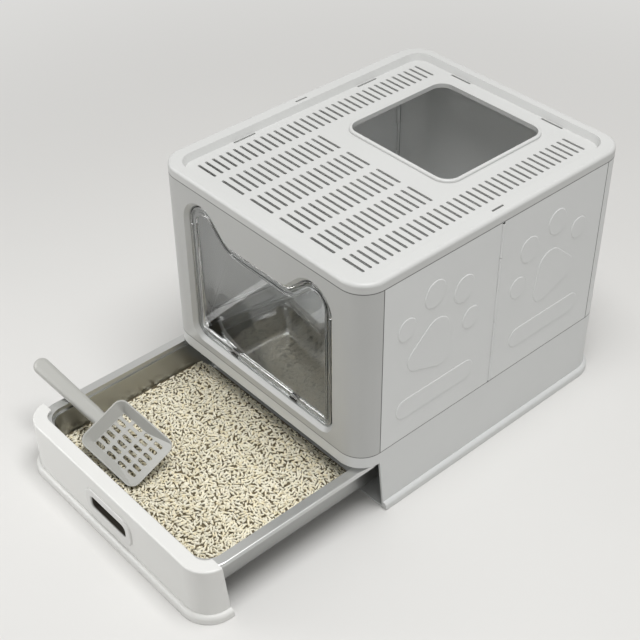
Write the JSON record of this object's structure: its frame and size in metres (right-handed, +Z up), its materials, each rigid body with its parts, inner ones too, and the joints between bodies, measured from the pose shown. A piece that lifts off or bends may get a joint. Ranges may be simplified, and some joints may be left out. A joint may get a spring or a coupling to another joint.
{
  "type": "drawer litter box",
  "caption": "Covered litter box with a pull-out steel tray, a clear swinging flap, a vented top entry and folding side walls.",
  "frame": {"origin": "centre of the base's underside, on the floor", "axes": "+X to the right seen from the front, -Y towards the front and the drawer's way out, +Z up"},
  "size_m": [0.4607, 0.764, 0.3935],
  "materials": {
    "white_plastic": "fine satin moulding",
    "scoop_plastic": "fine satin moulding",
    "clear_plastic": "clear and polished",
    "steel_sheet": "satin, drawn sheet",
    "pin_steel": "polished",
    "magnet": "plated",
    "litter": "pressed plant pellets"
  },
  "bodies": {
    "base": {"base": "white_plastic", "right_drawer_rail": "white_plastic", "left_drawer_rail": "white_plastic"},
    "drawer": {"drawer_front": "white_plastic", "drawer_grip": "white_plastic", "tray_clips": "white_plastic", "steel_tray": "steel_sheet", "litter_bed": "litter"},
    "scoop": {"scoop": "scoop_plastic"},
    "walls": {"front_wall": "white_plastic", "window_frame": "white_plastic", "sill_magnets": "magnet", "right_front_pin": "pin_steel", "left_front_pin": "pin_steel"},
    "door": {"door_flap": "clear_plastic", "flap_pins": "pin_steel", "flap_magnets": "magnet"},
    "cover": {"top_cover": "white_plastic"},
    "right_front": {"right_front_wall": "white_plastic", "right_middle_pin": "pin_steel"},
    "right_rear": {"right_rear_wall": "white_plastic"},
    "left_front": {"left_front_wall": "white_plastic", "left_middle_pin": "pin_steel"},
    "left_rear": {"left_rear_wall": "white_plastic"},
    "back": {"back_wall": "white_plastic", "right_rear_pin": "pin_steel", "left_rear_pin": "pin_steel"}
  },
  "joints": [
    {"name": "drawer_slide", "type": "slide", "parent": "base", "child": "drawer", "axis": [0, -1, 0], "range_m": [-0.26, 0]},
    {"name": "scoop_lift", "type": "slide", "parent": "drawer", "child": "scoop", "axis": [0, -0.3162, 0.9487], "range_m": [0, 0.412]},
    {"name": "walls_lift", "type": "slide", "parent": "base", "child": "walls", "axis": [0, 0, 1], "range_m": [0, 0.15]},
    {"name": "door_swing", "type": "hinge", "parent": "walls", "child": "door", "pos_m": [0, -0.238, 0.315], "axis": [-1, 0, 0], "range_deg": [-80, 80]},
    {"name": "cover_lift", "type": "slide", "parent": "walls", "child": "cover", "axis": [0, 0, 1], "range_m": [0, 0.2]},
    {"name": "wall_fold", "type": "hinge", "parent": "walls", "child": "right_front", "pos_m": [0.1956, -0.209, 0.245], "axis": [0, 0, 1], "range_deg": [0, 65]},
    {"name": "right_middle_fold", "type": "hinge", "parent": "right_front", "child": "right_rear", "pos_m": [0.1993, 0, 0.245], "axis": [0, 0, 1], "range_deg": [-130, 0]},
    {"name": "left_front_fold", "type": "hinge", "parent": "walls", "child": "left_front", "pos_m": [-0.1956, -0.209, 0.245], "axis": [0, 0, 1], "range_deg": [-65, 0]},
    {"name": "left_middle_fold", "type": "hinge", "parent": "left_front", "child": "left_rear", "pos_m": [-0.1993, 0, 0.245], "axis": [0, 0, 1], "range_deg": [0, 130]},
    {"name": "left_rear_fold", "type": "hinge", "parent": "left_rear", "child": "back", "pos_m": [-0.1956, 0.209, 0.245], "axis": [0, 0, 1], "range_deg": [-65, 0]}
  ],
  "couplings": [
    {"joint": "scoop_lift", "follows": "drawer_slide", "ratio": -1.5811},
    {"joint": "right_middle_fold", "follows": "wall_fold", "ratio": -2},
    {"joint": "left_front_fold", "follows": "wall_fold", "ratio": -1},
    {"joint": "left_middle_fold", "follows": "wall_fold", "ratio": 2},
    {"joint": "left_rear_fold", "follows": "wall_fold", "ratio": -1}
  ]
}
